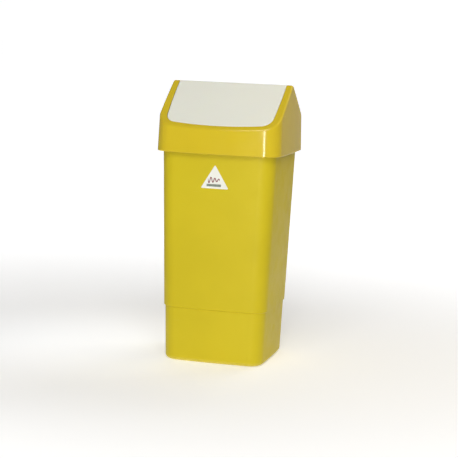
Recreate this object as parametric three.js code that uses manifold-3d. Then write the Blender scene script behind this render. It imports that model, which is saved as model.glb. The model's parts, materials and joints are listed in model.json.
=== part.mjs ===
import * as THREE from "three";
import { mergeVertices } from "three/addons/utils/BufferGeometryUtils.js";
import Module from "manifold-3d";

const wasm = await Module();
wasm.setup();
const { Manifold, Mesh } = wasm;

// Driving dimensions in mm. X is the width, the front faces -Y, Z is up, the floor is Z = 0.
const WALL = 2.5;
const TAN = 0.717; // pitch of both roof slopes

// Body, given as half sizes at the floor and at the hood's lower edge.
const BODY_HALF_X = [130.5, 144.9];
const BODY_HALF_Y = [127.3, 141.2];
const BODY_CORNER = [39, 40];
const BODY_BOW_R = [2600, 1390]; // radius of the bowed sides: side faces, front and back faces
const LOWER_INSET = 3.2;
const SHOULDER_Z = 137;
const SHOULDER_H = 2.5;
const BASE_FILLET = 11;
const FOOT_WIDTH = 10;
const FOOT_H = 3;
const RIM_Z = 560;
const RIM_OUT = 4.5;
const RIM_LIP = 6;

// Hood: skirt round the rim, then a ridged roof with its ridge along X.
const SKIRT_Z = 522;
const SKIRT_HALF_X = 158;
const SKIRT_HALF_Y = 154.2;
const FOLD_HALF_X = 156.2;
const FOLD_HALF_Y = 151.7;
const HOOD_CORNER = 42.5;
const HOOD_BOW_R = [3000, 1035];
const RIDGE_HALF_X = 154;
const HEIGHT = 690;
const RIDGE_R = 10;
const FOLD_R = 5;
const APEX_Z = HEIGHT + RIDGE_R * (Math.sqrt(1 + TAN * TAN) - 1); // where the slopes would meet
const HOOD_HALF = 170; // reaches past the hood on every side
const RIB_REACH = 13;
const RIB_T = 2;
const RIB_H = 16;
const RIB_X = [-96, -32, 32, 96];
const RIB_Y = [-78, 0, 78];

// Swing flap: two slopes flush with the roof, turning on two trunnions under the ridge.
const FLAP_HALF_X = 137.3;
const FLAP_HALF_Y = 140.8;
const FLAP_CORNER = 27;
const FLAP_BOW_R = [1530, 936];
const FLAP_T = 2.4;
const FLAP_RIB = 6;
const FLAP_RIB_IN = 2; // the rib's outer and inner faces stand this far inside the edge, and RIB_T further
const FLAP_GAP = 1.1;
const PIVOT_Z = 666;
const PIN_R = 4;
const PIN_GAP = 0.35;
const BOSS_R = 8.5;
const EAR_X = 128.3;
const EAR_T = 2.5;

// Triangular sticker on the upper front of the body.
const LABEL_W = 70;
const LABEL_H = 58;
const LABEL_BASE_Z = 438;
const LABEL_CORNER = 4;
const LABEL_GAP = 0.3;
const LABEL_T = 0.4;

const lerp = (pair, t) => pair[0] + (pair[1] - pair[0]) * t;

// Plan outline with bowed sides and corners tangent to them, counter-clockwise from the front left.
function outline(halfX, halfY, corner, bow, inset = 0, corners = 7, alongX = 8, alongY = 6) {
  const wx = halfX - inset;
  const wy = halfY - inset;
  const r = Math.max(corner - inset, 2);
  const rx = bow[0] - inset;
  const ry = bow[1] - inset;
  let ax = 0;
  let ay = 0;
  for (let k = 0; k < 30; k++) {
    ay = Math.asin((wx - rx + (rx - r) * Math.cos(ax)) / (ry - r));
    ax = Math.asin((wy - ry + (ry - r) * Math.cos(ay)) / (rx - r));
  }
  const cx = (ry - r) * Math.sin(ay);
  const cy = (rx - r) * Math.sin(ax);
  const points = [];
  const arc = (ox, oy, radius, from, to, steps) => {
    for (let k = 0; k < steps; k++) {
      const a = from + ((to - from) * k) / steps;
      points.push([ox + radius * Math.cos(a), oy + radius * Math.sin(a)]);
    }
  };
  const q = Math.PI / 2;
  arc(0, ry - wy, ry, -q - ay, -q + ay, alongX);
  arc(cx, -cy, r, -q + ay, -ax, corners);
  arc(wx - rx, 0, rx, -ax, ax, alongY);
  arc(cx, cy, r, ax, q - ay, corners);
  arc(0, wy - ry, ry, q - ay, q + ay, alongX);
  arc(-cx, cy, r, q + ay, 2 * q - ax, corners);
  arc(rx - wx, 0, rx, 2 * q - ax, 2 * q + ax, alongY);
  arc(-cx, -cy, r, 2 * q + ax, 3 * q - ay, corners);
  return points;
}

// Solid bounded by a stack of outlines, closed at both ends by a fan.
function skin(rings) {
  const n = rings[0].xy.length;
  const position = [];
  const index = [];
  rings.forEach((ring) => ring.xy.forEach(([x, y]) => position.push(x, y, ring.z)));
  for (let k = 0; k + 1 < rings.length; k++) {
    for (let i = 0; i < n; i++) {
      const j = (i + 1) % n;
      const [a, b] = [k * n + i, k * n + j];
      index.push(a, b, b + n, a, b + n, a + n);
    }
  }
  const last = (rings.length - 1) * n;
  const first = position.length / 3;
  position.push(0, 0, rings[0].z, 0, 0, rings[rings.length - 1].z);
  for (let i = 0; i < n; i++) {
    const j = (i + 1) % n;
    index.push(first, j, i, first + 1, last + i, last + j);
  }
  const geometry = new THREE.BufferGeometry();
  geometry.setAttribute("position", new THREE.Float32BufferAttribute(position, 3));
  geometry.setIndex(index);
  return geometry;
}

// Geometry of three.js as a manifold-3d solid.
function solid(geometry, matrix) {
  const g = geometry.clone();
  g.deleteAttribute("normal");
  g.deleteAttribute("uv");
  if (matrix) g.applyMatrix4(matrix);
  const merged = mergeVertices(g, 1e-4);
  return new Manifold(
    new Mesh({
      numProp: 3,
      vertProperties: new Float32Array(merged.attributes.position.array),
      triVerts: new Uint32Array(merged.index.array),
    }),
  );
}

function box(x0, x1, y0, y1, z0, z1) {
  const geometry = new THREE.BoxGeometry(x1 - x0, y1 - y0, z1 - z0);
  geometry.translate((x0 + x1) / 2, (y0 + y1) / 2, (z0 + z1) / 2);
  return solid(geometry);
}

// Cylinder along X from x0 to x1, centred on y = 0 and height z.
function barX(x0, x1, z, radius, segments = 32) {
  const geometry = new THREE.CylinderGeometry(radius, radius, x1 - x0, segments);
  geometry.rotateZ(Math.PI / 2);
  geometry.translate((x0 + x1) / 2, 0, z);
  return solid(geometry);
}

// Prism standing along Z over a closed list of plan points.
function prismZ(points, z0, z1) {
  const shape = new THREE.Shape(points.map(([x, y]) => new THREE.Vector2(x, y)));
  const geometry = new THREE.ExtrudeGeometry(shape, { depth: z1 - z0, bevelEnabled: false });
  geometry.translate(0, 0, z0);
  return solid(geometry);
}

// Prism along X between x0 and x1 over a closed list of [y, z] points.
function prismX(points, x0, x1) {
  const shape = new THREE.Shape(points.map(([y, z]) => new THREE.Vector2(y, z)));
  const geometry = new THREE.ExtrudeGeometry(shape, { depth: x1 - x0, bevelEnabled: false });
  const turn = new THREE.Matrix4().set(0, 0, 1, x0, 1, 0, 0, 0, 0, 1, 0, 0, 0, 0, 0, 1);
  return solid(geometry, turn);
}

// Outline of the body at a height, moved in by inset.
function bodyRing(z, inset) {
  const t = z / SKIRT_Z;
  const xy = outline(lerp(BODY_HALF_X, t), lerp(BODY_HALF_Y, t), lerp(BODY_CORNER, t), BODY_BOW_R, inset);
  return { xy, z };
}

// Rings up the outside of the body, from the floor to a height, grown outwards by grow.
function bodyOutside(top, grow) {
  const rings = [];
  for (let k = 0; k < 4; k++) {
    const a = (Math.PI / 2) * (1 - k / 4);
    const z = BASE_FILLET * (1 - Math.sin(a));
    rings.push(bodyRing(z, LOWER_INSET + BASE_FILLET * (1 - Math.cos(a)) - grow));
  }
  rings.push(bodyRing(BASE_FILLET, LOWER_INSET - grow));
  rings.push(bodyRing(SHOULDER_Z - SHOULDER_H, LOWER_INSET - grow));
  rings.push(bodyRing(SHOULDER_Z, -grow));
  rings.push(bodyRing(top, -grow));
  return rings;
}

function makeBody() {
  const under = LOWER_INSET + BASE_FILLET + FOOT_WIDTH;
  const floor = FOOT_H + WALL;
  const lipZ = RIM_Z - WALL - RIM_LIP;
  const rings = [bodyRing(FOOT_H, under + 2), bodyRing(0, under), ...bodyOutside(lipZ - 8, 0)];
  rings.push(bodyRing(RIM_Z - WALL, 0));
  rings.push(bodyRing(RIM_Z - WALL, -RIM_OUT + 1.8));
  rings.push(bodyRing(lipZ, -RIM_OUT + 1.8));
  rings.push(bodyRing(lipZ, -RIM_OUT));
  rings.push(bodyRing(RIM_Z - 1, -RIM_OUT));
  rings.push(bodyRing(RIM_Z, -RIM_OUT + 1));
  rings.push(bodyRing(RIM_Z, WALL - 1));
  rings.push(bodyRing(RIM_Z - 1, WALL));
  rings.push(bodyRing(SHOULDER_Z + 1, WALL));
  rings.push(bodyRing(SHOULDER_Z - SHOULDER_H + 1, LOWER_INSET + WALL));
  rings.push(bodyRing(floor + 10, LOWER_INSET + WALL + 0.5));
  rings.push(bodyRing(floor + 3, LOWER_INSET + WALL + 3.5));
  rings.push(bodyRing(floor, LOWER_INSET + WALL + 10.5));
  return solid(skin(rings));
}

// Height of the roof surface over a plan distance from the ridge, lowered by drop measured square to it.
function roofZ(y, drop) {
  const square = Math.sqrt(1 + TAN * TAN);
  return APEX_Z - TAN * Math.abs(y) - drop * square;
}

// Convex outside of the hood moved in by inset, open below when base is under the skirt.
function hoodHull(inset, base, round) {
  const points = [];
  outline(SKIRT_HALF_X, SKIRT_HALF_Y, HOOD_CORNER, HOOD_BOW_R, inset).forEach(([x, y]) => {
    const flare = (SKIRT_Z - base) / (HEIGHT - SKIRT_Z);
    points.push([x * (1 + 0.02 * flare), y * (1 + 0.02 * flare), base]);
  });
  const tilt = Math.atan(TAN);
  const plain = outline(FOLD_HALF_X, FOLD_HALF_Y, HOOD_CORNER, HOOD_BOW_R, inset);
  const core = outline(FOLD_HALF_X, FOLD_HALF_Y, HOOD_CORNER, HOOD_BOW_R, inset + round);
  core.forEach(([x, y], i) => {
    const nx = (plain[i][0] - x) / round;
    const ny = (plain[i][1] - y) / round;
    if (Math.abs(y) < 4) return; // the ridge ends stand there
    const zc = roofZ(y, inset + round);
    for (let k = 0; k <= 3; k++) {
      const a = (Math.PI / 6) * k;
      points.push([x + round * nx * Math.cos(a), y + round * ny * Math.cos(a), zc + round * Math.sin(a)]);
    }
    points.push([x, y + round * Math.sign(y) * Math.sin(tilt), zc + round * Math.cos(tilt)]);
  });
  const r = Math.max(RIDGE_R - inset, 4);
  const zr = APEX_Z - inset * Math.sqrt(1 + TAN * TAN) - r * Math.sqrt(1 + TAN * TAN);
  const end = RIDGE_HALF_X - inset - r;
  for (const side of [-1, 1]) {
    for (let i = -3; i <= 3; i++) {
      const a = (tilt * i) / 3;
      for (let k = 0; k <= 4; k++) {
        const b = (Math.PI / 8) * k;
        const reach = r * Math.cos(b);
        const [y, z] = [r * Math.sin(a) * Math.sin(b), zr + r * Math.cos(a) * Math.sin(b)];
        points.push([side * (end + reach), y, z]);
      }
    }
  }
  return Manifold.hull(points);
}

// Plan outline of the flap grown outwards by grow: the hood's opening is the same outline grown by the gap.
function flapPlan(grow) {
  return outline(FLAP_HALF_X, FLAP_HALF_Y, FLAP_CORNER, FLAP_BOW_R, -grow);
}

// Band of constant thickness under the roof surface, as [y, z] points.
function roofBand(drop, thickness, reach) {
  const row = (d) => {
    const r = Math.max(RIDGE_R - d, 4);
    const zc = APEX_Z - (d + r) * Math.sqrt(1 + TAN * TAN);
    const tilt = Math.atan(TAN);
    const list = [[-reach, roofZ(reach, d)]];
    for (let k = -3; k <= 3; k++) {
      const a = (tilt * k) / 3;
      list.push([r * Math.sin(a), zc + r * Math.cos(a)]);
    }
    list.push([reach, roofZ(reach, d)]);
    return list;
  };
  return [...row(drop + thickness), ...row(drop).reverse()];
}

function makeHood() {
  const outside = hoodHull(0, SKIRT_Z, FOLD_R);
  const inside = hoodHull(WALL, SKIRT_Z - 20, 3);
  const mouth = prismZ(flapPlan(FLAP_GAP), SKIRT_Z + 20, HEIGHT + 20);
  let hood = outside.subtract(inside).subtract(mouth);
  // Ribs standing on the body's rim, four on each long side and three on each short side.
  const ribs = [];
  const base = RIM_Z + 0.3;
  const reachY = FOLD_HALF_Y - WALL - RIB_REACH;
  const reachX = FOLD_HALF_X - WALL - RIB_REACH;
  for (const side of [-1, 1]) {
    for (const x of RIB_X) {
      const span = side < 0 ? [-HOOD_HALF, -reachY] : [reachY, HOOD_HALF];
      ribs.push(box(x - RIB_T / 2, x + RIB_T / 2, ...span, base, base + RIB_H));
    }
    for (const y of RIB_Y) {
      const span = side < 0 ? [-HOOD_HALF, -reachX] : [reachX, HOOD_HALF];
      ribs.push(box(...span, y - RIB_T / 2, y + RIB_T / 2, base, base + RIB_H));
    }
  }
  hood = hood.add(Manifold.union(ribs).intersect(outside));
  // Pivot sockets on the inside of the two cheeks.
  for (const side of [-1, 1]) {
    const face = FLAP_HALF_X + FLAP_GAP + 3;
    const ends = side < 0 ? [-RIDGE_HALF_X + 1, -face] : [face, RIDGE_HALF_X - 1];
    const hole = side < 0 ? [-RIDGE_HALF_X + WALL, -face + 1] : [face - 1, RIDGE_HALF_X - WALL];
    const boss = barX(...ends, PIVOT_Z, BOSS_R).intersect(outside);
    hood = hood.add(boss).subtract(barX(...hole, PIVOT_Z, PIN_R + PIN_GAP));
  }
  return hood;
}

function makeFlap() {
  const reach = FLAP_HALF_Y + 5;
  const panel = prismX(roofBand(0, FLAP_T, reach), -HOOD_HALF, HOOD_HALF);
  const rim = prismX(roofBand(FLAP_T - 0.4, FLAP_RIB, reach), -HOOD_HALF, HOOD_HALF);
  const outer = prismZ(flapPlan(-FLAP_RIB_IN), SKIRT_Z, HEIGHT + 10);
  const inner = prismZ(flapPlan(-FLAP_RIB_IN - RIB_T), SKIRT_Z - 5, HEIGHT + 15);
  let flap = panel.intersect(prismZ(flapPlan(0), SKIRT_Z, HEIGHT + 10));
  flap = flap.add(rim.intersect(outer.subtract(inner)));
  for (const side of [-1, 1]) {
    const ends = side < 0 ? [-EAR_X - EAR_T, -EAR_X] : [EAR_X, EAR_X + EAR_T];
    const low = PIVOT_Z - BOSS_R;
    const arm = (roofZ(0, FLAP_T) - low) / TAN;
    const ear = [
      [-BOSS_R, low],
      [BOSS_R, low],
      [arm * 0.8, roofZ(arm * 0.8, FLAP_T - 0.5)],
      [0, roofZ(0, FLAP_T + 2)],
      [-arm * 0.8, roofZ(arm * 0.8, FLAP_T - 0.5)],
    ];
    flap = flap.add(prismX(ear, ...ends));
    const tip = RIDGE_HALF_X - WALL - 0.8;
    flap = flap.add(barX(...(side < 0 ? [-tip, -EAR_X - 1] : [EAR_X + 1, tip]), PIVOT_Z, PIN_R));
  }
  return flap;
}

function makeLabel() {
  const over = solid(skin(bodyOutside(RIM_Z, LABEL_GAP + LABEL_T)));
  const under = solid(skin(bodyOutside(RIM_Z, LABEL_GAP)));
  const corners = [[-LABEL_W / 2, 0], [LABEL_W / 2, 0], [0, LABEL_H]];
  const shape = [];
  const toward = (from, to, length) => {
    const d = Math.hypot(to[0] - from[0], to[1] - from[1]);
    return [from[0] + ((to[0] - from[0]) * length) / d, from[1] + ((to[1] - from[1]) * length) / d];
  };
  corners.forEach((c, i) => {
    const a = toward(c, corners[(i + 2) % 3], LABEL_CORNER);
    const b = toward(c, corners[(i + 1) % 3], LABEL_CORNER);
    for (let k = 0; k <= 4; k++) {
      const t = k / 4;
      const s = 1 - t;
      shape.push(new THREE.Vector2(
        s * s * a[0] + 2 * s * t * c[0] + t * t * b[0],
        s * s * a[1] + 2 * s * t * c[1] + t * t * b[1] + LABEL_BASE_Z,
      ));
    }
  });
  const geometry = new THREE.ExtrudeGeometry(new THREE.Shape(shape), { depth: 200, bevelEnabled: false });
  geometry.rotateX(Math.PI / 2);
  return over.subtract(under).intersect(solid(geometry));
}

function node(name, made, color, roughness) {
  const raw = made.getMesh();
  const geometry = new THREE.BufferGeometry();
  geometry.setAttribute("position", new THREE.Float32BufferAttribute(raw.vertProperties, 3));
  geometry.setIndex(new THREE.Uint32BufferAttribute(raw.triVerts, 1));
  const mesh = new THREE.Mesh(geometry, new THREE.MeshStandardMaterial({ color, roughness }));
  mesh.name = name;
  return mesh;
}

const bin = new THREE.Group();
bin.name = "swing_top_bin";
bin.add(node("body_shell", makeBody(), 0xd4bc33, 0.45));
bin.add(node("lid_hood", makeHood(), 0xd9c033, 0.25));
bin.add(node("swing_flap", makeFlap(), 0xe6e6da, 0.3));
bin.add(node("label_sticker", makeLabel(), 0xe4e4d8, 0.4));
export default bin;
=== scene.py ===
import json
from math import atan, cos, pi, radians, sin

import bpy
import numpy as np
from mathutils import Matrix, Vector


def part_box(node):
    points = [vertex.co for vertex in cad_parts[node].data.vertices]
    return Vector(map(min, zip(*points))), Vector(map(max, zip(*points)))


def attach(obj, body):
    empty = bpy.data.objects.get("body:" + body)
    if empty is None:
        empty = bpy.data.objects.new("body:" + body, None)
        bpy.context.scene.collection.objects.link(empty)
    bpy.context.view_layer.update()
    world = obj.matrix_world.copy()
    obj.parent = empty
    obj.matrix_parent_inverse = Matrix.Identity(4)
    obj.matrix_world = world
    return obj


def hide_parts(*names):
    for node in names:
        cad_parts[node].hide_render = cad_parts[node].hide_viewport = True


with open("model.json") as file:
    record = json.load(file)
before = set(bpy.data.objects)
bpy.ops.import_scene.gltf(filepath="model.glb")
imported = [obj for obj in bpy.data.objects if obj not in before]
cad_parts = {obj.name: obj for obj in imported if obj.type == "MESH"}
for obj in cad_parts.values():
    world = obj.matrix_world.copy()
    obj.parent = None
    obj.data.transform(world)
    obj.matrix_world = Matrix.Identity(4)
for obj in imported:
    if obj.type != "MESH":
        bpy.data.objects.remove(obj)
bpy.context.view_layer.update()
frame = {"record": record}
toMetres = 0.001  # shapes are worked out in millimetres


def boxOf(node):
    # The low and high corners of a node's box, in millimetres.
    low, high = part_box(node)
    return np.array(low) / toMetres, np.array(high) / toMetres


bodyHigh = boxOf("body_shell")[1]
hoodLow, hoodHigh = boxOf("lid_hood")
flapHigh = boxOf("swing_flap")[1]
stickerLow, stickerHigh = boxOf("label_sticker")
swingJoint = next(j for j in frame["record"]["behaviour"]["joints"] if j["name"] == "flap_swing")
pivotHeight = swingJoint["pos_m"][2] / toMetres

# The viewpoint, in degrees and metres, and the lens in millimetres.
cameraSetup = {
    "azimuth": 14.9,  # degrees round to the right of the front
    "elevation": 8.05,
    "roll": 2.1,  # leans the view's top to the right
    "distance": 3.75,
    "aimHeight": 0.3217,
    "aimRight": 0.003,
    "lens": 116.76,
    "sensor": 36.0,
}


def awayFromBin(azimuth, elevation):
    # The unit vector from the bin out to a viewpoint or a lamp, both angles in degrees.
    a, e = radians(azimuth), radians(elevation)
    return Vector((sin(a) * cos(e), -cos(a) * cos(e), sin(e)))


def placeCamera(setup):
    # Looks at a point by the bin's axis from an azimuth and an elevation, then rolls about its line of sight.
    a, r = radians(setup["azimuth"]), radians(setup["roll"])
    back = awayFromBin(setup["azimuth"], setup["elevation"])
    right = Vector((cos(a), sin(a), 0.0))
    up = back.cross(right)
    aim = right * setup["aimRight"] + Vector((0, 0, setup["aimHeight"]))
    turnedRight = right * cos(r) + up * sin(r)
    turnedUp = up * cos(r) - right * sin(r)
    data = bpy.data.cameras.new("viewCamera")
    data.lens = setup["lens"]
    data.sensor_width = setup["sensor"]
    camera = bpy.data.objects.new("viewCamera", data)
    bpy.context.scene.collection.objects.link(camera)
    turn = Matrix((turnedRight, turnedUp, back)).transposed()
    camera.matrix_world = Matrix.Translation(aim + back * setup["distance"]) @ turn.to_4x4()
    bpy.context.scene.camera = camera


placeCamera(cameraSetup)
print("camera placed")


def gridQuads(rows, columns, closedRows=False):
    # Quads between neighbouring rows of a grid whose columns run round and meet again.
    k = np.arange(rows if closedRows else rows - 1)[:, None]
    i = np.arange(columns)[None, :]
    j = (i + 1) % columns
    above = (k + 1) % rows
    quads = np.stack([k * columns + i, k * columns + j, above * columns + j, above * columns + i], -1)
    return quads.reshape(-1, 4)


def shellPiece(name, rings, body, slot, material, node=None, poles=None, closedRows=False):
    # Rows of points, each a closed ring, joined by quads; the two poles close the first and last ring.
    rows, columns = rings.shape[:2]
    points = rings.reshape(-1, 3)
    faces = gridQuads(rows, columns, closedRows).tolist()
    if poles is not None:
        points = np.vstack([points, poles])
        i = np.arange(columns)
        j = (i + 1) % columns
        first = np.full(columns, rows * columns)
        lastRow = (rows - 1) * columns
        faces += np.stack([first, j, i], -1).tolist()
        faces += np.stack([first + 1, lastRow + i, lastRow + j], -1).tolist()
    return meshPiece(name, points, faces, body, slot, material, node)


def meshPiece(name, points, faces, body, slot, material, node=None):
    # A smooth mesh in metres from points in millimetres, riding on its body and standing in for its CAD node.
    mesh = bpy.data.meshes.new(name)
    mesh.from_pydata((points * toMetres).tolist(), [], faces)
    mesh.polygons.foreach_set("use_smooth", np.ones(len(mesh.polygons), bool))
    mesh.materials.append(material)
    mesh.update()
    piece = bpy.data.objects.new(name, mesh)
    bpy.context.scene.collection.objects.link(piece)
    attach(piece, body)
    if node:
        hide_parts(node)
    return piece


def filletPath(corners, arcSteps=7, longest=18.0, nearEnd=0.8, fillFrom=3.0):
    # A broken line of (out, up, radius) corners, each rounded by an arc tangent to both legs.
    path = np.array(corners, float)
    pieces = [path[:1, :2]]
    for before, here, after in zip(path[:-2], path[1:-1], path[2:]):
        inward = before[:2] - here[:2]
        onward = after[:2] - here[:2]
        inward /= np.linalg.norm(inward)
        onward /= np.linalg.norm(onward)
        half = np.arccos(np.clip(inward @ onward, -1, 1)) / 2
        radius = here[2]
        reach = radius / np.tan(half)
        centre = here[:2] + (inward + onward) / np.linalg.norm(inward + onward) * radius / np.sin(half)
        spokeIn = here[:2] + inward * reach - centre
        spokeOut = here[:2] + onward * reach - centre
        angle = pi - 2 * half
        t = np.linspace(0, 1, arcSteps)[:, None]
        arc = centre + (np.sin((1 - t) * angle) * spokeIn + np.sin(t * angle) * spokeOut) / np.sin(angle)
        pieces.append(arc)
    pieces.append(path[-1:, :2])
    rough = np.vstack(pieces)
    filled = [rough[:1]]
    for a, b in zip(rough[:-1], rough[1:]):
        length = np.linalg.norm(b - a)
        if length > fillFrom:  # a row close to each end keeps the shading of the flat true
            count = int(np.ceil(length / longest)) + 1
            inner = np.linspace(nearEnd / length, 1 - nearEnd / length, count)[:, None]
            filled.append(a + (b - a) * inner)
        filled.append(b[None])
    return np.vstack(filled)


def loopWalk(front, corner, side, crowding=1.0):
    # Which of a loop's eight arcs each sample is on, and how far along it.
    # Crowding raises the distance from a side's middle to a power, so its samples pack together there.
    counts = [front, corner, side, corner] * 2
    arc = np.repeat(np.arange(8), counts)
    along = np.concatenate([np.arange(n) / n for n in counts])
    centred = 2 * along - 1
    packed = (np.sign(centred) * np.abs(centred) ** crowding + 1) / 2
    return arc, np.where(arc % 4 == 2, packed, along)


def loopPoints(shape, halfX, halfY, inset, walk, leastCorner=1.5, solveSteps=14):
    # A rounded rectangle moved in by inset: shallow arcs for sides, tighter arcs for corners, all tangent.
    arc, along = walk
    halfX, halfY, inset, along = np.broadcast_arrays(halfX, halfY, inset, along)
    wide, deep = halfX - inset, halfY - inset
    tight = np.maximum(shape["corner"] - inset, leastCorner)
    sideBow, faceBow = shape["sideBow"] - inset, shape["faceBow"] - inset
    turnX = turnY = np.zeros(wide.shape)
    for _ in range(solveSteps):  # each side's half turn follows from the other's until both settle
        turnY = np.arcsin((wide - sideBow + (sideBow - tight) * np.cos(turnX)) / (faceBow - tight))
        turnX = np.arcsin((deep - faceBow + (faceBow - tight) * np.cos(turnY)) / (sideBow - tight))
    cornerX = (faceBow - tight) * np.sin(turnY)
    cornerY = (sideBow - tight) * np.sin(turnX)
    none = np.zeros(wide.shape)
    centreX = np.stack([none, cornerX, wide - sideBow, cornerX, none, -cornerX, sideBow - wide, -cornerX])
    centreY = np.stack([faceBow - deep, -cornerY, none, cornerY, deep - faceBow, cornerY, none, -cornerY])
    radius = np.stack([faceBow, tight, sideBow, tight] * 2)
    right = pi / 2
    start = [-right - turnY, -right + turnY, -turnX, turnX]
    start += [right - turnY, right + turnY, pi - turnX, pi + turnX]
    ends = np.stack([*start, 1.5 * pi - turnY])
    index = np.broadcast_to(arc, wide.shape)[None]
    pick = lambda table: np.take_along_axis(table, index, 0)[0]
    angle = pick(ends[:8]) + (pick(ends[1:]) - pick(ends[:8])) * along
    return pick(centreX) + pick(radius) * np.cos(angle), pick(centreY) + pick(radius) * np.sin(angle)


def shaderTree(name):
    # A new material with its node tree and its surface shader.
    material = bpy.data.materials.new(name)
    material.use_nodes = True
    tree = material.node_tree
    shader = tree.nodes["Principled BSDF"]
    return material, tree, shader


def addNode(tree, kind, settings=None, **inputs):
    # One node with its settings; inputs are named, or _0, _1 by place, and are sockets or plain values.
    node = tree.nodes.new(kind)
    for key, value in (settings or {}).items():
        setattr(node, key, value)
    for key, value in inputs.items():
        socket = node.inputs[int(key[1:])] if key[1:].isdigit() else node.inputs[key]
        if isinstance(value, bpy.types.NodeSocket):
            tree.links.new(value, socket)
        else:
            socket.default_value = value
    return node


def vectorMaths(tree, operation, **inputs):
    # A vector sum whose answer is one number.
    return addNode(tree, "ShaderNodeVectorMath", {"operation": operation}, **inputs).outputs["Value"]


def maths(tree, operation, first, second=0.0, third=0.0):
    # One sum on up to three numbers or sockets.
    return addNode(tree, "ShaderNodeMath", {"operation": operation}, _0=first, _1=second, _2=third).outputs[0]


def remap(tree, value, low, high, toLow, toHigh):
    # Carries the span low to high onto toLow to toHigh, easing in and out, and stays at the ends beyond it.
    node = addNode(tree, "ShaderNodeMapRange", {"interpolation_type": "SMOOTHSTEP"}, Value=value)
    for key, number in (("From Min", low), ("From Max", high), ("To Min", toLow), ("To Max", toHigh)):
        node.inputs[key].default_value = number
    return node.outputs[0]


def noise(tree, coords, scale, detail=2.0, roughness=0.5, stretch=(1, 1, 1), turn=(0, 0, 0)):
    # Smooth noise; a large stretch squeezes it along that axis into streaks across it.
    placed = addNode(tree, "ShaderNodeMapping", Vector=coords)
    placed.inputs["Scale"].default_value = stretch
    placed.inputs["Rotation"].default_value = turn
    node = addNode(tree, "ShaderNodeTexNoise", Vector=placed.outputs[0])
    node.inputs["Scale"].default_value = scale
    node.inputs["Detail"].default_value = detail
    node.inputs["Roughness"].default_value = roughness
    return node.outputs[0]


def blendColour(tree, amount, first, second):
    # The first colour at nought, the second at one.
    node = addNode(tree, "ShaderNodeMix", {"data_type": "RGBA"})
    for socket, value in ((node.inputs[0], amount), (node.inputs[6], first), (node.inputs[7], second)):
        if isinstance(value, bpy.types.NodeSocket):
            tree.links.new(value, socket)
        else:
            socket.default_value = (*value, 1.0) if isinstance(value, tuple) else value
    return node.outputs[2]


def bumpOn(tree, height, distance, strength, below=None):
    # Relief of a height in metres, laid over the relief below it.
    node = addNode(tree, "ShaderNodeBump", Height=height)
    node.inputs["Distance"].default_value = distance
    node.inputs["Strength"].default_value = strength
    if below is not None:
        tree.links.new(below, node.inputs["Normal"])
    return node.outputs[0]


# Marks that every moulding shares: the scale of each pattern, then where its noise starts and ends to show.
wear = {
    "driftScale": 5.0,
    "acrossScale": 9.0,
    "acrossStretch": (1, 1, 60),
    "acrossTurn": (0.35, 0.2, 0.1),
    "acrossShows": (0.66, 0.72),
    "alongScale": 11.0,
    "alongStretch": (50, 40, 1),
    "alongTurn": (0.1, -0.3, 0.2),
    "alongShows": (0.68, 0.74),
    "patchScale": 14.0,
    "patchShows": (0.45, 0.7),
    "markTint": 0.35,
    "markDull": 0.25,
    "scuffScale": 160.0,
    "scuffTop": 0.012,  # metres above the floor
    "smudgeScale": 22.0,
    "smudgeShows": (0.35, 0.7),
    "glowRadius": (1.0, 0.6, 0.25),
    "glowReach": 0.004,
}


def mouldedPlastic(name, look):
    # Pigmented plastic: drifting tone, shallow waves, mould grain, and fine scratches that dull the gloss.
    material, tree, shader = shaderTree(name)
    coords = addNode(tree, "ShaderNodeTexCoord").outputs["Object"]
    drift = remap(tree, noise(tree, coords, wear["driftScale"], 3.0), 0.3, 0.7, 0.0, 1.0)
    tone = blendColour(tree, drift, look["deep"], look["pale"])
    streaks = []
    for way in ("across", "along"):
        grain = noise(tree, coords, wear[way + "Scale"], 4.0, 0.7, wear[way + "Stretch"], wear[way + "Turn"])
        streaks.append(remap(tree, grain, *wear[way + "Shows"], 0, 1))
    scratches = maths(tree, "MAXIMUM", *streaks)
    patches = remap(tree, noise(tree, coords, wear["patchScale"]), *wear["patchShows"], 0, look["scratches"])
    marks = maths(tree, "MULTIPLY", scratches, patches)
    tone = blendColour(tree, maths(tree, "MULTIPLY", marks, wear["markTint"]), tone, look["worn"])
    height = addNode(tree, "ShaderNodeSeparateXYZ", Vector=coords).outputs[2]
    nearFloor = remap(tree, height, 0.0, wear["scuffTop"], look["baseScuff"], 0.0)
    scuffed = maths(tree, "MULTIPLY", nearFloor, noise(tree, coords, wear["scuffScale"], 4.0))
    tone = blendColour(tree, scuffed, tone, look["worn"])
    tree.links.new(tone, shader.inputs["Base Color"])
    smears = noise(tree, coords, wear["smudgeScale"], 4.0, 0.6)
    smudge = remap(tree, smears, *wear["smudgeShows"], *look["rough"])
    dulled = maths(tree, "MULTIPLY_ADD", maths(tree, "ADD", marks, scuffed), wear["markDull"], smudge)
    tree.links.new(dulled, shader.inputs["Roughness"])
    waves = bumpOn(tree, noise(tree, coords, look["waveScale"], 2.0), look["waveHeight"], 1.0)
    grain = bumpOn(tree, noise(tree, coords, look["grainScale"], 3.0, 0.6), look["grainHeight"], 1.0, waves)
    tree.links.new(grain, shader.inputs["Normal"])
    shader.inputs["IOR"].default_value = look["ior"]
    shader.inputs["Subsurface Weight"].default_value = look["glow"]
    shader.inputs["Subsurface Radius"].default_value = wear["glowRadius"]
    shader.inputs["Subsurface Scale"].default_value = wear["glowReach"]
    return material


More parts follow.
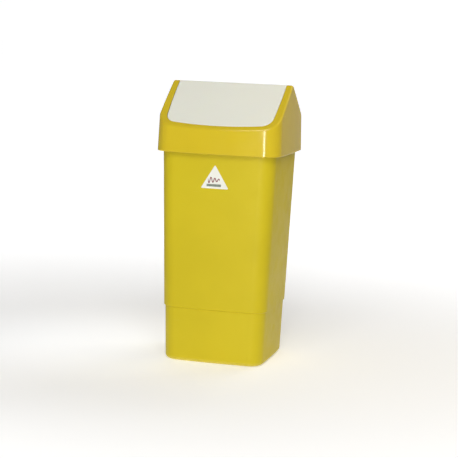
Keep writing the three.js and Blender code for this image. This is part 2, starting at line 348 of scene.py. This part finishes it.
satinYellowLook = {
    "deep": (0.59, 0.47, 0.012),
    "pale": (0.628, 0.502, 0.014),
    "worn": (0.76, 0.67, 0.20),
    "rough": (0.42, 0.52),
    "waveScale": 16.0,
    "waveHeight": 0.0006,
    "grainScale": 900.0,
    "grainHeight": 0.00006,
    "scratches": 0.7,
    "baseScuff": 0.9,
    "ior": 1.28,
    "glow": 0.06,
}
glossYellowLook = {
    "deep": (0.65, 0.484, 0.017),
    "pale": (0.684, 0.513, 0.019),
    "worn": (0.80, 0.70, 0.24),
    "rough": (0.16, 0.22),
    "waveScale": 12.0,
    "waveHeight": 0.0004,
    "grainScale": 700.0,
    "grainHeight": 0.00001,
    "scratches": 0.6,
    "baseScuff": 0.0,
    "ior": 1.49,
    "glow": 0.06,
}
whiteLook = {
    "deep": (0.868, 0.87, 0.772),
    "pale": (0.876, 0.88, 0.784),
    "worn": (0.72, 0.70, 0.62),
    "rough": (0.29, 0.31),
    "waveScale": 7.0,
    "waveHeight": 0.0004,
    "grainScale": 700.0,
    "grainHeight": 0.000015,
    "scratches": 0.5,
    "baseScuff": 0.0,
    "ior": 1.49,
    "glow": 0.08,
}
satinYellow = mouldedPlastic("satinYellow", satinYellowLook)
glossYellow = mouldedPlastic("glossYellow", glossYellowLook)
whitePlastic = mouldedPlastic("whitePlastic", whiteLook)
print("plastics mixed")

bodyShape = {
    "wall": 2.5,
    "corner": 39.5,
    "sideBow": 2600.0,
    "faceBow": 1390.0,
    "sideTaper": 0.02759,  # how much each half size grows per unit of height
    "faceTaper": 0.02663,
    "rimOut": 4.5,
    "rimLip": 8.5,
    "lipWall": 1.8,
    "lowerInset": 3.2,
    "shoulder": 137.0,
    "shoulderHeight": 2.5,
    "baseRadius": 11.0,
    "footInset": 24.2,
    "footHeight": 3.0,
    "floorReach": 100.0,  # how far in the base is carried before the poles close it
    "floorRadius": 10.0,
    "rows": (36, 20, 30),  # samples on a face, a corner and a side
}


def bodyHalves(height):
    # Half width and half depth of the upper face line, carried down to any height along the taper.
    fall = bodyHigh[2] - height
    halfX = bodyHigh[0] - bodyShape["rimOut"] - bodyShape["sideTaper"] * fall
    halfY = bodyHigh[1] - bodyShape["rimOut"] - bodyShape["faceTaper"] * fall
    return halfX, halfY


def makeBody(shape):
    # One profile, from under the base up the outside, over the rim and down inside, carried round the loop.
    top, wall, low = bodyHigh[2], shape["wall"], -shape["lowerInset"]
    floorTop = shape["footHeight"] + wall
    path = filletPath([
        (-shape["floorReach"], shape["footHeight"], 0),
        (-shape["footInset"] - wall, shape["footHeight"], 1.0),
        (-shape["footInset"], 0, 0.8),
        (low, 0, shape["baseRadius"]),
        (low, shape["shoulder"] - shape["shoulderHeight"], 1.0),
        (0, shape["shoulder"], 0.8),
        (0, top - wall, 0.8),
        (shape["rimOut"] - shape["lipWall"], top - wall, 0.6),
        (shape["rimOut"] - shape["lipWall"], top - shape["rimLip"], 0.5),
        (shape["rimOut"], top - shape["rimLip"], 0.7),
        (shape["rimOut"], top, 1.6),
        (-wall, top, 1.0),
        (-wall, shape["shoulder"] + 1, 2.0),
        (low - wall, shape["shoulder"] - shape["shoulderHeight"] + 1, 2.0),
        (low - wall, floorTop, shape["floorRadius"]),
        (-shape["floorReach"], floorTop, 0),
    ])
    out, up = path[:, :1], path[:, 1:]
    halfX, halfY = bodyHalves(up)
    x, y = loopPoints(shape, halfX, halfY, -out, loopWalk(*shape["rows"]))
    rings = np.stack([x, y, np.broadcast_to(up, x.shape)], -1)
    poles = np.array([[0, 0, shape["footHeight"]], [0, 0, floorTop]])
    return shellPiece("bodyShell", rings, "bin_body", "yellow_satin", satinYellow, "body_shell", poles)


makeBody(bodyShape)
print("body moulded")

# The roof that the hood and the flap share; crowded samples on its sides put more of them at the ridge.
roofShape = {"pitch": 0.717, "ridge": 10.0}
roofWalk = loopWalk(40, 24, 64, crowding=1.7)


def roofHeight(y, drop=0.0):
    # Two slopes that meet over the ridge in an arc, lowered by drop measured square to the slope.
    tilt = atan(roofShape["pitch"])
    radius = np.maximum(roofShape["ridge"] - drop, 1.0)
    centre = hoodHigh[2] - roofShape["ridge"]
    slope = centre + (roofShape["ridge"] - drop) / cos(tilt) - roofShape["pitch"] * np.abs(y)
    arc = centre + np.sqrt(np.maximum(radius**2 - np.square(y), 0)) - (radius - roofShape["ridge"] + drop)
    return np.where(np.abs(y) < radius * sin(tilt), np.minimum(arc, slope), slope)


flapShape = {
    "corner": 27.0,
    "sideBow": 1530.0,
    "faceBow": 936.0,
    "halfX": 137.3,
    "edge": 2.0,
    "thickness": 2.4,
    "flangeDepth": 8.2,
    "flangeWall": 2.0,
    "underFillet": 1.5,
    "gap": 0.8,  # left round it, to the mouth of the hood
    "turnFrom": 100.0,  # where the edge starts to turn from along the slope to across it
    "turnOver": 32.0,
}
flapHalfY = flapHigh[1]

hoodShape = {
    "wall": 2.5,
    "corner": 42.5,
    "sideBow": 3000.0,
    "faceBow": 1035.0,
    "sideLean": 0.0238,  # how much each half size shrinks per unit of height
    "faceLean": 0.0379,
    "faceTop": 90.0,  # height over the skirt's edge from which the front and back lean no more
    "fold": 5.0,
    "ridgeEnd": 0.5,  # added to the fold's radius at the ridge, over about this width
    "ridgeWidth": 26.0,
    "innerFold": 3.0,
    "mouthEdge": 0.9,
}


def hoodLoop(height, inset, walk):
    # The hood's loop at a height, with both half sizes shrinking in proportion to it, moved in by inset.
    halfX = hoodHigh[0] - hoodShape["sideLean"] * (height - hoodLow[2])
    halfY = hoodHigh[1] - hoodShape["faceLean"] * np.minimum(height - hoodLow[2], hoodShape["faceTop"])
    return loopPoints(hoodShape, halfX, halfY, inset, walk)


def wallTop(inset, drop, below, walk, tries=8):
    # Height at which the wall meets its rounded fold: the roof over the wall's own place, by repetition.
    height = np.full(walk[0].shape, (hoodLow[2] + hoodHigh[2]) / 2)
    for _ in range(tries):
        y = hoodLoop(height, inset, walk)[1]
        height = roofHeight(y, drop) - below(y)
    return height


def makeHood(shape):
    # One closed profile carried round the loop: skirt edge, outer wall, fold, roof band, mouth,
    # then back along the underside and down the inner wall.
    walk, wall = roofWalk, shape["wall"]
    edgeCentre = hoodLow[2] + wall / 2
    fold = lambda y: shape["fold"] + shape["ridgeEnd"] * np.exp(-((y / shape["ridgeWidth"]) ** 2))
    innerFold = lambda y: np.full(y.shape, shape["innerFold"])
    rows = []

    def addRow(x, y, z):
        rows.append(np.stack([x, y, np.broadcast_to(z, x.shape)], -1))

    for angle in np.linspace(pi, 2 * pi, 9):
        inset = wall / 2 * (1 - cos(angle))
        z = edgeCentre + wall / 2 * sin(angle)
        addRow(*hoodLoop(z, inset, walk), z)
    top = wallTop(0.0, 0.0, fold, walk)
    for t in np.concatenate([[0.01], np.linspace(0.04, 0.98, 26)]):
        z = edgeCentre + (top - edgeCentre) * t
        addRow(*hoodLoop(z, 0.0, walk), z)
    outerY = hoodLoop(top, 0.0, walk)[1]
    radius = fold(outerY)
    for angle in np.linspace(0, pi / 2, 12):
        x, y = hoodLoop(top, radius * (1 - cos(angle)), walk)
        addRow(x, y, roofHeight(y) - radius * (1 - sin(angle)))
    bandX, bandY = hoodLoop(top, radius, walk)
    gap, edge = flapShape["gap"], shape["mouthEdge"]
    mouth = lambda grow: loopPoints(flapShape, flapShape["halfX"], flapHalfY, -grow, walk)
    edgeX, edgeY = mouth(gap + edge)
    for t in [0.08, *np.linspace(0.2, 0.9, 7), 0.97]:
        x, y = bandX + (edgeX - bandX) * t, bandY + (edgeY - bandY) * t
        addRow(x, y, roofHeight(y))
    for angle in np.linspace(0, pi / 2, 6):
        x, y = mouth(gap + edge * (1 - sin(angle)))
        addRow(x, y, roofHeight(y) - edge * (1 - cos(angle)))
    x, y = mouth(gap)
    for t in (0.15, 0.85, 1.0):
        addRow(x, y, roofHeight(y) - edge + (roofHeight(y, wall) - roofHeight(y) + edge) * t)
    innerTop = wallTop(wall, wall, innerFold, walk)
    innerX, innerY = hoodLoop(innerTop, wall + shape["innerFold"], walk)
    for t in [0.03, *np.linspace(0.15, 0.92, 6)]:
        px, py = x + (innerX - x) * t, y + (innerY - y) * t
        addRow(px, py, roofHeight(py, wall))
    for angle in np.linspace(pi / 2, 0, 6):
        px, py = hoodLoop(innerTop, wall + shape["innerFold"] * (1 - cos(angle)), walk)
        addRow(px, py, roofHeight(py, wall) - shape["innerFold"] * (1 - sin(angle)))
    for t in np.concatenate([np.linspace(0.98, 0.04, 18), [0.01]]):
        z = edgeCentre + (innerTop - edgeCentre) * t
        addRow(*hoodLoop(z, wall, walk), z)
    rings = np.stack(rows)
    return shellPiece("hoodShell", rings, "lid", "yellow_gloss", glossYellow, "lid_hood", closedRows=True)


makeHood(hoodShape)
print("hood moulded")


def makeFlap(shape):
    # Rings carried out under the panel, down and round the turned-down flange, over the edge and back on top.
    walk = roofWalk
    thick, edge, deep, wall = shape["thickness"], shape["edge"], shape["flangeDepth"], shape["flangeWall"]
    fillet = shape["underFillet"]
    tilt = atan(roofShape["pitch"])
    rows = []

    def addRow(inset, drop):
        # inset and drop are measured along and square to the slope where the edge runs across it.
        y = loopPoints(shape, shape["halfX"], flapHalfY, 0.0, walk)[1]
        t = np.clip((np.abs(y) - shape["turnFrom"]) / shape["turnOver"], 0, 1)
        across = t * t * (3 - 2 * t)
        moved = inset * (1 - across + across * cos(tilt)) + (drop * sin(tilt) - 0.4 * edge) * across
        x, y = loopPoints(shape, shape["halfX"], flapHalfY, moved, walk)
        rows.append(np.stack([x, y, roofHeight(y, drop)], -1))

    def addInner(scale, drop):
        # The same ring drawn in towards the middle, still on the roof.
        x, y = rim[..., 0] * scale, rim[..., 1] * scale
        rows.append(np.stack([x, y, roofHeight(y, drop)], -1))

    spread = np.concatenate([[0.01, 0.03], np.linspace(0.06, 0.96, 32), [0.985]])
    addRow(wall + fillet, thick)
    rim = rows.pop()
    for t in spread:
        addInner(t, thick)
    for angle in np.linspace(0, pi / 2, 5):
        addRow(wall + fillet * (1 - sin(angle)), thick + fillet * (1 - cos(angle)))
    addRow(wall, deep - wall)
    for angle in np.linspace(0, pi, 9):
        addRow(wall / 2 * (1 + cos(angle)), deep - wall / 2 + wall / 2 * sin(angle))
    for drop in (deep - wall, edge + 0.6):
        addRow(0.0, drop)
    for angle in np.linspace(pi / 2, 0, 9):
        addRow(edge * (1 - sin(angle)), edge * (1 - cos(angle)))
    addRow(edge + 1.0, 0.0)
    rim = rows[-1]
    for t in spread[::-1]:
        addInner(t, 0.0)
    poles = np.array([[0, 0, roofHeight(0.0, thick)], [0, 0, roofHeight(0.0)]])
    return shellPiece("flapPanel", np.stack(rows), "flap", "white_gloss", whitePlastic, "swing_flap", poles)


makeFlap(flapShape)
print("flap moulded")

pivotShape = {
    "pin": 4.0,
    "clearance": 0.35,
    "boss": 8.5,
    "bossFace": 141.6,
    "earInner": 128.3,
    "earThick": 2.5,
    "earReach": 34.0,
    "earEdge": 0.6,
    "earUp": 5.0,  # from the swing axis to the point that the ear's rings shrink towards
    "underSpan": (1.08 * pi, 1.92 * pi),  # the part of the boss's circle that is the ear's lower edge
}


axisGap = 0.01  # the radius at which a turned profile starts and ends, closed by a pole
turnedSteps, turnedLength = 5, 4.0  # how finely its arcs and its straights are cut


def turned(profile, side, steps=48):
    # A profile of (along, radius) turned about the swing axis; side mirrors it to the left.
    along, radius = np.array(profile, float).T[:, :, None]
    angle = np.linspace(0, 2 * pi, steps, endpoint=False)[None] * side
    x = np.broadcast_to(along * side, (len(profile), steps))
    return np.stack([x, radius * np.cos(angle), pivotHeight + radius * np.sin(angle)], -1)


def plate(outline, centre, half, edge):
    # A flat closed outline given thickness, its rim rounded by rings that shrink towards the middle.
    angle = np.linspace(-pi / 2, pi / 2, 9)[:, None]
    away = outline - centre
    reach = np.linalg.norm(away, axis=1, keepdims=True)
    unit = (away / reach)[None]
    shrink = (edge * (1 - np.cos(angle)))[..., None]
    flat = centre + unit * (reach[None] - shrink)
    across = np.sign(angle) * (half - edge) + edge * np.sin(angle)
    return flat, np.broadcast_to(across, flat.shape[:2])


def joinRings(parts):
    # Several ring grids with their poles, put into one list of points and faces.
    points, faces, offset = [], [], 0
    for rings, poles in parts:
        rows, columns = rings.shape[:2]
        i = np.arange(columns)
        j = (i + 1) % columns
        first = np.full(columns, rows * columns)
        last = (rows - 1) * columns
        startCap, endCap = np.stack([first, j, i], -1), np.stack([first + 1, last + i, last + j], -1)
        for quadsOrCap in (gridQuads(rows, columns), startCap, endCap):
            faces += (quadsOrCap + offset).tolist()
        points.append(np.vstack([rings.reshape(-1, 3), poles]))
        offset += rows * columns + 2
    return np.vstack(points), faces


def makeSockets(shape):
    # A boss with a blind hole, turned about the swing axis inside each cheek.
    far = hoodHigh[0] - hoodShape["sideLean"] * (pivotHeight - hoodLow[2]) - 1.0
    face, hole, boss = shape["bossFace"], shape["pin"] + shape["clearance"], shape["boss"]
    floor = far - hoodShape["wall"]
    profile = filletPath([
        (far, axisGap, 0),
        (far, boss + 1.0, 0.3),
        (far - 3, boss, 1.5),
        (face, boss, 0.8),
        (face, hole, 0.5),
        (floor, hole, 0.3),
        (floor, axisGap, 0),
    ], turnedSteps, turnedLength)
    parts = []
    for side in (1, -1):
        poles = np.array([[far * side, 0, pivotHeight], [floor * side, 0, pivotHeight]])
        parts.append((turned(profile, side), poles))
    return meshPiece("pivotSockets", *joinRings(parts), "lid", "yellow_gloss", glossYellow, "lid_hood")


def makeEars(shape):
    # Ears hang from the panel round the swing axis, each with its trunnion pointing outwards.
    parts = []
    near = shape["earInner"] + 0.5
    tip = flapHigh[0]
    pin = shape["pin"]
    corners = [(near, axisGap, 0), (near, pin, 0.2), (tip, pin, 0.9), (tip, axisGap, 0)]
    profile = filletPath(corners, turnedSteps, turnedLength)
    reach, boss = shape["earReach"], shape["boss"]
    under = np.linspace(*shape["underSpan"], 22)
    bottom = np.stack([boss * np.cos(under), pivotHeight + boss * np.sin(under)], -1)
    side = np.linspace(reach, -reach, 27)
    top = np.stack([side, roofHeight(side, flapShape["thickness"] - 0.4)], -1)
    outline = np.vstack([bottom, top])
    centre = np.array([0.0, pivotHeight + shape["earUp"]])
    flat, across = plate(outline, centre, shape["earThick"] / 2, shape["earEdge"])
    middle = shape["earInner"] + shape["earThick"] / 2
    for way in (1, -1):
        x = middle * way + across
        rings = np.stack([x, flat[..., 0], flat[..., 1]], -1)
        poles = np.array([[x[0, 0], *centre], [x[-1, 0], *centre]])
        parts.append((rings, poles))
        ends = np.array([[tip * way, 0, pivotHeight], [near * way, 0, pivotHeight]])
        parts.append((turned(profile, way)[::-1], ends))
    return meshPiece("flapEars", *joinRings(parts), "flap", "white_gloss", whitePlastic, "swing_flap")


ribShape = {
    "places": (-96, -32, 32, 96),
    "sidePlaces": (-78, 0, 78),
    "reach": 13.0,
    "thick": 2.0,
    "height": 16.0,
    "gap": 0.3,
    "edge": 0.4,
    "hollow": (2.5, 3.0),  # how far the sloping edge curves in
}


def makeRibs(shape):
    # Gussets inside the skirt that stand on the body's rim: flat plates, deep below and fading upwards.
    base = bodyHigh[2] + shape["gap"]
    rise = base - hoodLow[2]
    t = np.linspace(0, 1, 12)[:, None]
    reach, tall, half = shape["reach"], shape["height"], shape["thick"] / 2
    slope = np.array([reach, 0.0]) * (1 - t) + np.array([0.0, tall]) * t
    slope = slope - np.array(shape["hollow"]) * np.sin(pi * t)
    along = np.array([reach, 0.0]) * np.linspace(0, 0.95, 8)[:, None]
    outline = np.vstack([along, slope, [[0.0, tall / 2]]]) - np.array([shape["edge"], 0])
    centre = np.array([reach, tall]) / 4
    flat, across = plate(outline, centre, half, shape["edge"])
    parts = []

    def addPair(place, depth, acrossX):
        # The same rib on both sides of the hood; acrossX says that it is spread along x and points along y.
        for way in (-1, 1):
            turn = -way if acrossX else way
            spread, out = place + across * turn, way * (depth - flat[..., 0])
            middle = way * (depth - centre[0])
            ends = [(place - half * turn, middle), (place + half * turn, middle)]
            order = slice(None) if acrossX else slice(None, None, -1)
            rings = np.stack([*(spread, out)[order], base + flat[..., 1]], -1)
            parts.append((rings, np.array([[*end[order], base + centre[1]] for end in ends])))

    wall = hoodShape["wall"]
    for place in shape["places"]:
        bow = place**2 / (2 * hoodShape["faceBow"])
        addPair(place, hoodHigh[1] - hoodShape["faceLean"] * rise - wall - bow, True)
    for place in shape["sidePlaces"]:
        bow = place**2 / (2 * hoodShape["sideBow"])
        addPair(place, hoodHigh[0] - hoodShape["sideLean"] * rise - wall - bow, False)
    return meshPiece("rimRibs", *joinRings(parts), "lid", "yellow_gloss", glossYellow, "lid_hood")


makeSockets(pivotShape)
makeEars(pivotShape)
makeRibs(ribShape)
print("pivots and ribs moulded")

stickerShape = {
    "corner": 4.0,
    "gap": 0.09,
    "thickness": 0.25,
    "sharpOut": 1.4,  # from the CAD film's rounded corners out to the sharp ones, to the side and up
    "sharpUp": 1.7,
}


def printedFilm(name, look):
    # White film with a plain dying ripple over a bar, each cut out by its distance from the sign's middle.
    material, tree, shader = shaderTree(name)
    coords = addNode(tree, "ShaderNodeTexCoord").outputs["Object"]
    parts = addNode(tree, "ShaderNodeSeparateXYZ", Vector=coords)
    across = maths(tree, "SUBTRACT", parts.outputs[0], look["middle"][0] * toMetres)
    up = maths(tree, "SUBTRACT", parts.outputs[2], look["middle"][1] * toMetres)
    soft = look["soft"] * toMetres

    def within(value, limit):
        # One where the value is nearer to nought than the limit, with a soft edge.
        past = maths(tree, "SUBTRACT", maths(tree, "ABSOLUTE", value), limit * toMetres)
        return remap(tree, past, -soft, soft, 1, 0)

    wave = look["wave"]
    pace = 2 * pi / (wave["length"] * toMetres)
    phase = maths(tree, "MULTIPLY", across, pace)
    reach = wave["reach"] * toMetres
    swing = remap(tree, across, -reach, reach, wave["tall"] * toMetres, wave["low"] * toMetres)
    centre = maths(tree, "MULTIPLY", swing, maths(tree, "SINE", phase))
    slope = maths(tree, "MULTIPLY", maths(tree, "MULTIPLY", swing, pace), maths(tree, "COSINE", phase))
    steep = maths(tree, "SQRT", maths(tree, "MULTIPLY_ADD", slope, slope, 1.0))
    away = maths(tree, "DIVIDE", maths(tree, "SUBTRACT", up, centre), steep)
    ripple = maths(tree, "MULTIPLY", within(away, wave["line"]), within(across, wave["reach"]))
    barUp = maths(tree, "ADD", up, look["barDrop"] * toMetres)
    bar = maths(tree, "MULTIPLY", within(across, look["barReach"]), within(barUp, look["barHalf"]))
    notches = within(maths(tree, "PINGPONG", across, look["notch"] * toMetres), look["notchWide"])
    bar = maths(tree, "MULTIPLY", bar, maths(tree, "MULTIPLY_ADD", notches, -look["notchPale"], 1.0))
    fade = remap(tree, noise(tree, coords, 30.0, 3.0), 0.3, 0.7, 0.0, 1.0)
    tone = blendColour(tree, fade, look["film"], look["filmDull"])
    tone = blendColour(tree, bar, tone, look["bar"])
    tone = blendColour(tree, ripple, tone, look["sign"])
    tree.links.new(tone, shader.inputs["Base Color"])
    dulled = remap(tree, noise(tree, coords, 60.0, 4.0), 0.3, 0.7, *look["rough"])
    tree.links.new(dulled, shader.inputs["Roughness"])
    waves = bumpOn(tree, noise(tree, coords, 90.0, 3.0), look["waveHeight"], 0.6)
    tree.links.new(waves, shader.inputs["Normal"])
    return material


def makeSticker(shape, material):
    # A rounded triangle of film shrunk in rings towards its middle and laid on the bowed front face.
    low, high = stickerLow[2], stickerHigh[2]
    reach = stickerHigh[0] + shape["sharpOut"]
    corners = np.array([[-reach, low], [reach, low], [0.0, high + shape["sharpUp"]]])
    centre = corners.mean(0)
    t = np.linspace(0, 1, 10)[:, None]
    loop = []
    for here, after, before in zip(corners, np.roll(corners, -1, 0), np.roll(corners, 1, 0)):
        inward, onward = before - here, after - here
        a = here + inward / np.linalg.norm(inward) * shape["corner"]
        b = here + onward / np.linalg.norm(onward) * shape["corner"]
        far = after + (here - after) / np.linalg.norm(here - after) * shape["corner"]
        loop.append((1 - t) ** 2 * a + 2 * t * (1 - t) * here + t**2 * b)
        loop.append(b + (far - b) * np.linspace(0, 1, 26)[1:-1, None])
    loop = np.vstack(loop)
    rows = []

    def addRow(scale, out):
        # The outline at one scale, pushed out from the bowed face: an arc of the face's own radius.
        flat = centre + (loop - centre) * scale
        deep = bodyHalves(flat[:, 1])[1]
        face = bodyShape["faceBow"] - deep - np.sqrt(bodyShape["faceBow"] ** 2 - flat[:, 0] ** 2)
        rows.append(np.stack([flat[:, 0], face - out, flat[:, 1]], -1))

    under, top = shape["gap"], shape["gap"] + shape["thickness"]
    for scale in np.linspace(0.04, 0.99, 12):
        addRow(scale, under)
    for scale, out in ((0.998, under), (1.0, under + 0.05), (1.0, top - 0.06), (0.998, top)):
        addRow(scale, out)
    for scale in np.linspace(0.99, 0.04, 12):
        addRow(scale, top)
    rings = np.stack(rows)
    poles = np.array([rings[0].mean(0), rings[-1].mean(0)])
    return shellPiece("stickerFilm", rings, "bin_body", "printed_film", material, "label_sticker", poles)


stickerLook = {
    "middle": (-2.0, stickerLow[2] + 21.0),  # of the ripple, across and up
    "soft": 0.15,
    "wave": {"length": 9.8, "reach": 14.7, "tall": 6.2, "low": 2.6, "line": 1.25},
    "barDrop": 13.0,
    "barReach": 18.0,
    "barHalf": 3.0,
    "notch": 1.6,
    "notchWide": 0.56,
    "notchPale": 0.3,
    "film": (0.85, 0.85, 0.78),
    "filmDull": (0.80, 0.80, 0.72),
    "rough": (0.28, 0.42),
    "waveHeight": 0.0001,
    "bar": (0.12, 0.16, 0.11),
    "sign": (0.22, 0.035, 0.045),
}
makeSticker(stickerShape, printedFilm("printedFilm", stickerLook))
print("sticker laid")

# The floor, its paper and the lamps, in metres, watts and degrees round to the right of the front.
stageShape = {
    "half": 8.0,
    "front": -7.0,
    "middle": -2.0,
    "back": 4.5,
    "bend": 1.6,
    "tall": 5.0,
    "flatRows": 12,
    "bendRows": 24,
    "columns": 9,
}
paperLook = {
    "pale": (0.94, 0.94, 0.94),
    "paintedShadeTone": (0.6, 0.6, 0.6),
    "laneHalf": 0.62,  # the pale lane runs along the line of sight and widens behind the bin; outside it the paper is painted darker, painted shade
    "laneSpread": 0.2,
    "laneFade": 0.5,
    # Painted light: the paper's own glow near the bin, which lights the bin's lower parts.
    "glow": 0.21,
    "paintedPoolGlow": 0.2,  # a painted pool of light, added beside the base, on the side away from the side lamp
    "poolFrom": 0.05,
    "poolReach": 0.62,
    "poolPlace": (-0.32, -0.06, 0.0),
    "outside": 0.2,  # share of the glow that is left outside the lane
    "farGlow": 0.44,  # added far off, where the lamps hardly reach, between these two distances
    "farFrom": 0.3,
    "farReach": 2.3,
    "fibreScale": 40.0,
    "fibreDark": 0.99,
}
white, warm = (1, 1, 1), (1, 0.77, 0.42)
lightSetup = {
    "key": {"place": (9, 43, 3.4), "size": (1.8, 1.2), "power": 39.5, "tint": white},
    "strip": {"place": (10.2, 3, 4.6), "size": (0.5, 1.9), "power": 82, "tint": white},
    "top": {"place": (150, 52, 3.2), "size": (1.6, 1.2), "power": 24, "tint": white},
    "side": {"place": (92, 46, 1.35), "size": (0.6, 0.6), "power": 2.2, "tint": warm},
}  # a place is an azimuth, an elevation and a distance
lampAim = 0.35  # the height that every lamp faces
airStrength = 0.17


def paintedGlowPaper(name, look):
    # Pale paper that glows by its own emission round the bin and along a lane, painted light, and is painted
    # darker to either side of the lane, painted shade.
    material, tree, shader = shaderTree(name)
    coords = addNode(tree, "ShaderNodeTexCoord").outputs["Object"]
    parts = addNode(tree, "ShaderNodeSeparateXYZ", Vector=coords)
    turn = radians(cameraSetup["azimuth"])
    x, y = parts.outputs[0], parts.outputs[1]
    toRight = maths(tree, "MULTIPLY_ADD", x, cos(turn), maths(tree, "MULTIPLY", y, sin(turn)))
    aside = maths(tree, "ABSOLUTE", toRight)
    behind = maths(tree, "MULTIPLY_ADD", y, cos(turn), maths(tree, "MULTIPLY", x, -sin(turn)))
    spread = maths(tree, "MULTIPLY", maths(tree, "MAXIMUM", behind, 0.0), look["laneSpread"])
    laneEnd = look["laneHalf"] + look["laneFade"]
    lane = remap(tree, maths(tree, "SUBTRACT", aside, spread), look["laneHalf"], laneEnd, 1.0, 0.0)
    reach = vectorMaths(tree, "LENGTH", _0=coords)
    # Painted pool of light: glow added to the paper near the base.
    fromPool = vectorMaths(tree, "DISTANCE", _0=coords, _1=look["poolPlace"])
    pool = remap(tree, fromPool, look["poolFrom"], look["poolReach"], look["paintedPoolGlow"], 0.0)
    far = remap(tree, reach, look["farFrom"], look["farReach"], look["glow"], look["glow"] + look["farGlow"])
    fibre = noise(tree, coords, look["fibreScale"], 4.0)
    pale = blendColour(tree, fibre, look["pale"], tuple(c * look["fibreDark"] for c in look["pale"]))
    # Painted shade: the paper takes the darker tone outside the lane.
    tree.links.new(blendColour(tree, lane, look["paintedShadeTone"], pale), shader.inputs["Base Color"])
    share = maths(tree, "MAXIMUM", lane, look["outside"])
    # Painted light: the paper's glow, fullest in the lane, with the painted pool of light added.
    tree.links.new(maths(tree, "MULTIPLY_ADD", share, far, pool), shader.inputs["Emission Strength"])
    shader.inputs["Emission Color"].default_value = (1, 1, 1, 1)
    shader.inputs["Roughness"].default_value = 0.8
    shader.inputs["Specular IOR Level"].default_value = 0.1
    return material


def makeStage(shape, material):
    # A floor that runs back, bends up in a quarter circle and ends in an upright wall.
    columns, bend = shape["columns"], shape["bend"]
    angle = np.linspace(0, pi / 2, shape["bendRows"])[1:]
    floor = np.append(shape["front"], np.linspace(shape["middle"], shape["back"], shape["flatRows"]))
    y = np.concatenate([floor, shape["back"] + bend * np.sin(angle)])
    z = np.concatenate([np.zeros(len(floor)), bend * (1 - np.cos(angle))])
    y, z = np.append(y, y[-1]), np.append(z, shape["tall"])
    x = np.linspace(-shape["half"], shape["half"], columns)
    points = np.stack(np.broadcast_arrays(x[None], y[:, None], z[:, None]), -1).reshape(-1, 3)
    k, i = np.meshgrid(np.arange(len(y) - 1), np.arange(columns - 1), indexing="ij")
    a = (k * columns + i).ravel()
    mesh = bpy.data.meshes.new("paleSweep")
    mesh.from_pydata(points.tolist(), [], np.stack([a, a + 1, a + columns + 1, a + columns], -1).tolist())
    mesh.polygons.foreach_set("use_smooth", np.ones(len(mesh.polygons), bool))
    mesh.materials.append(material)
    sweep = bpy.data.objects.new("paleSweep", mesh)
    bpy.context.scene.collection.objects.link(sweep)


def makeLight(name, setup):
    # A soft rectangle of light, placed by its azimuth and elevation and facing the bin.
    azimuth, elevation, distance = setup["place"]
    back = awayFromBin(azimuth, elevation)
    data = bpy.data.lights.new(name, "AREA")
    data.shape = "RECTANGLE"
    data.size, data.size_y = setup["size"]
    data.energy = setup["power"]
    data.color = setup["tint"]
    lamp = bpy.data.objects.new(name, data)
    bpy.context.scene.collection.objects.link(lamp)
    lamp.location = Vector((0, 0, lampAim)) + back * distance
    lamp.rotation_euler = back.to_track_quat("Z", "Y").to_euler()


def makeAir(strength):
    # Even white light from all round.
    world = bpy.data.worlds.new("studioAir")
    world.use_nodes = True
    background = world.node_tree.nodes["Background"]
    background.inputs[0].default_value = (1, 1, 1, 1)
    background.inputs[1].default_value = strength
    bpy.context.scene.world = world


makeStage(stageShape, paintedGlowPaper("paintedGlowPaper", paperLook))
for lightName, setup in lightSetup.items():
    makeLight(lightName, setup)
makeAir(airStrength)
bpy.context.scene.view_settings.view_transform = "Standard"
print("stage lit")
